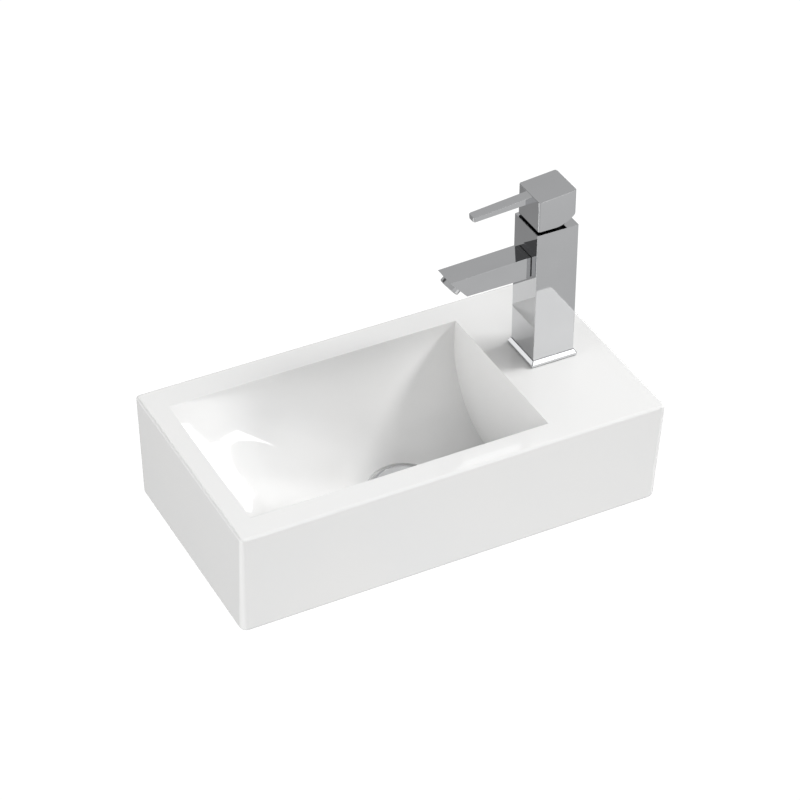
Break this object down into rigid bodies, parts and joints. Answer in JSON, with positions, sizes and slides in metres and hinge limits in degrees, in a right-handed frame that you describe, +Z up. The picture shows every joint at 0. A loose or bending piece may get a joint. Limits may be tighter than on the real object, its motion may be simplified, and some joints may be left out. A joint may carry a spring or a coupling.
{
  "type": "wall-hung hand basin with mixer tap",
  "caption": "Small rectangular wall-hung hand basin in white ceramic with a square single-lever mixer tap on its right ledge and a push-to-open waste.",
  "frame": {"origin": "middle between the two wall-fixing holes, on the flat back face", "axes": "+Y into the wall, +Z up, +X to the right when facing the basin"},
  "size_m": [0.455, 0.2498, 0.3698],
  "materials": {
    "ceramic": "white gloss glaze",
    "chrome": "polished",
    "brass": "turned",
    "steel": "zinc plated",
    "rubber": "matte",
    "disc_ceramic": "ground",
    "white_plastic": "moulded",
    "blue_plastic": "moulded"
  },
  "bodies": {
    "fixed": {"basin": "ceramic", "waste_body": "chrome", "waste_top_gasket": "rubber", "waste_taper_gasket": "rubber", "waste_slip_washer": "white_plastic", "waste_backnut": "brass", "click_barrel": "chrome", "plug_spring": "steel", "tap_base_gasket": "rubber", "tap_base_plate": "chrome", "tap_body": "chrome", "spout_seal": "rubber", "spout_nipple": "brass", "spout": "chrome", "aerator_housing": "chrome", "aerator_insert": "white_plastic", "cartridge_seals": "rubber", "cartridge_body": "white_plastic", "fixed_disc": "disc_ceramic", "cartridge_nut": "brass", "cartridge_dome": "chrome", "mounting_stud": "steel", "horseshoe_rubber": "rubber", "horseshoe_plate": "steel", "stud_nut": "brass"},
    "mixer": {"cartridge_swivel": "blue_plastic", "lever_pin": "steel"},
    "disc": {"moving_disc": "disc_ceramic", "disc_carrier": "blue_plastic"},
    "lever": {"handle": "chrome", "handle_screw": "steel", "screw_cover": "white_plastic", "cartridge_stem": "brass"},
    "plug": {"plug_cap": "chrome", "plug_stem": "steel", "plug_seal": "rubber"}
  },
  "joints": [
    {"name": "mix_turn", "type": "hinge", "parent": "fixed", "child": "mixer", "pos_m": [0.1652, -0.113, 0.21], "axis": [0, 0, 1], "range_deg": [-50, 50]},
    {"name": "lever_lift", "type": "hinge", "parent": "mixer", "child": "lever", "pos_m": [0.1652, -0.113, 0.21], "axis": [0, 1, 0], "range_deg": [0, 23]},
    {"name": "disc_slide", "type": "slide", "parent": "mixer", "child": "disc", "axis": [1, 0, 0], "range_m": [-0.005, 0]},
    {"name": "plug_click", "type": "slide", "parent": "fixed", "child": "plug", "axis": [0, 0, 1], "range_m": [0, 0.008], "deforming": ["plug_spring"]}
  ],
  "couplings": [
    {"joint": "disc_slide", "follows": "lever_lift", "m_per_rad": -0.012}
  ]
}
